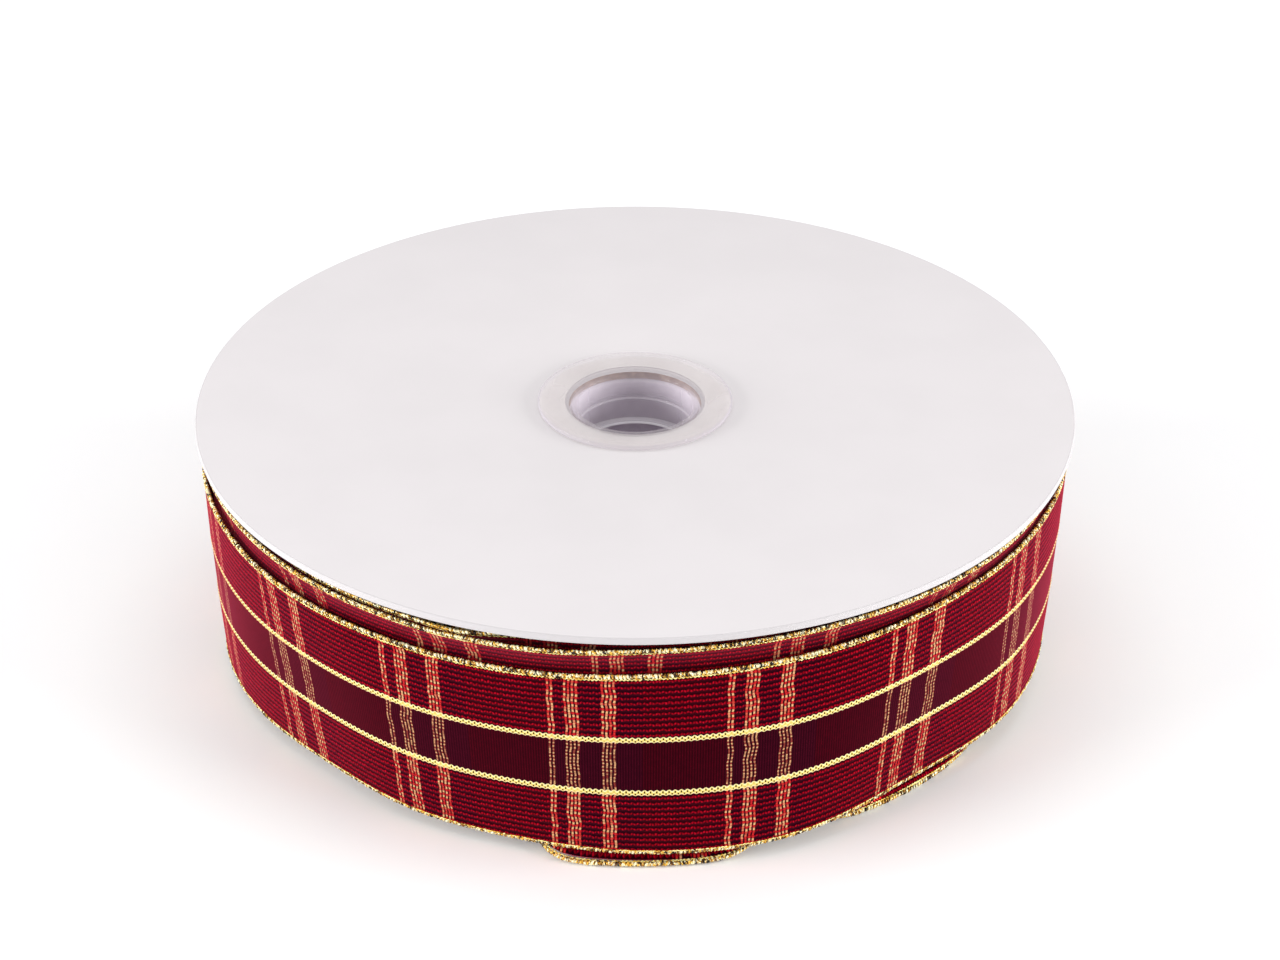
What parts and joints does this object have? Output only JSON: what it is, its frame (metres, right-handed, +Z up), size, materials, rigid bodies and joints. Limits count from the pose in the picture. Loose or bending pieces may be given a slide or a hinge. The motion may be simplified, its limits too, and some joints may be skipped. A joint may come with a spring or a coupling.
{
  "type": "ribbon spool",
  "caption": "Flat card spool with a spindle bore through clear hub plugs, wound with wired plaid gift ribbon that stands in slack turns below a larger upper flange.",
  "frame": {"origin": "on the spool's axis, level with the surface that the spool lies on", "axes": "+Z up along the spool's axis, from the lower flange to the larger upper flange; -Y is the front and the ribbon's free end is at the back, on +Y"},
  "size_m": [0.17, 0.17, 0.054],
  "materials": {
    "white_card": "smooth white coated face, brown cut edge",
    "core_card": "rolled pale grey card, matt",
    "clear_plastic": "clear moulded plastic, faint lavender grey",
    "woven_band": "ribbed woven band, wine and navy plaid with gold lines and metallic dashes",
    "gold_edging": "metallic gold overlock stitching over a thin wire",
    "tape": "yellowed clear adhesive tape"
  },
  "bodies": {
    "wound_core": {"core_tube": "core_card", "upper_hub_plug": "clear_plastic", "lower_hub_plug": "clear_plastic", "inner_end_tape": "tape", "inner_turns_band": "woven_band", "inner_turns_lower_edging": "gold_edging", "inner_turns_upper_edging": "gold_edging", "fourth_turn_band": "woven_band", "fourth_turn_lower_edging": "gold_edging", "fourth_turn_upper_edging": "gold_edging", "third_turn_band": "woven_band", "third_turn_lower_edging": "gold_edging", "third_turn_upper_edging": "gold_edging", "second_turn_band": "woven_band", "second_turn_lower_edging": "gold_edging", "second_turn_upper_edging": "gold_edging", "outer_turn_band": "woven_band", "outer_turn_lower_edging": "gold_edging", "outer_turn_upper_edging": "gold_edging"},
    "upper_disc": {"upper_flange": "white_card"},
    "lower_disc": {"lower_flange": "white_card"},
    "free_end": {"free_end_band": "woven_band", "free_end_lower_edging": "gold_edging", "free_end_upper_edging": "gold_edging"}
  },
  "joints": [
    {"name": "upper_flange_turn", "type": "hinge", "parent": "wound_core", "child": "upper_disc", "pos_m": [0, 0, 0.05205], "axis": [0, 0, 1], "continuous": true},
    {"name": "lower_flange_turn", "type": "hinge", "parent": "wound_core", "child": "lower_disc", "pos_m": [0, 0, 0.00195], "axis": [0, 0, 1], "continuous": true},
    {"name": "free_end_lift", "type": "hinge", "parent": "wound_core", "child": "free_end", "pos_m": [0.03821, 0.07187, 0.023], "axis": [-0.0431, -0.0811, -0.9958], "range_deg": [0, 60]}
  ]
}
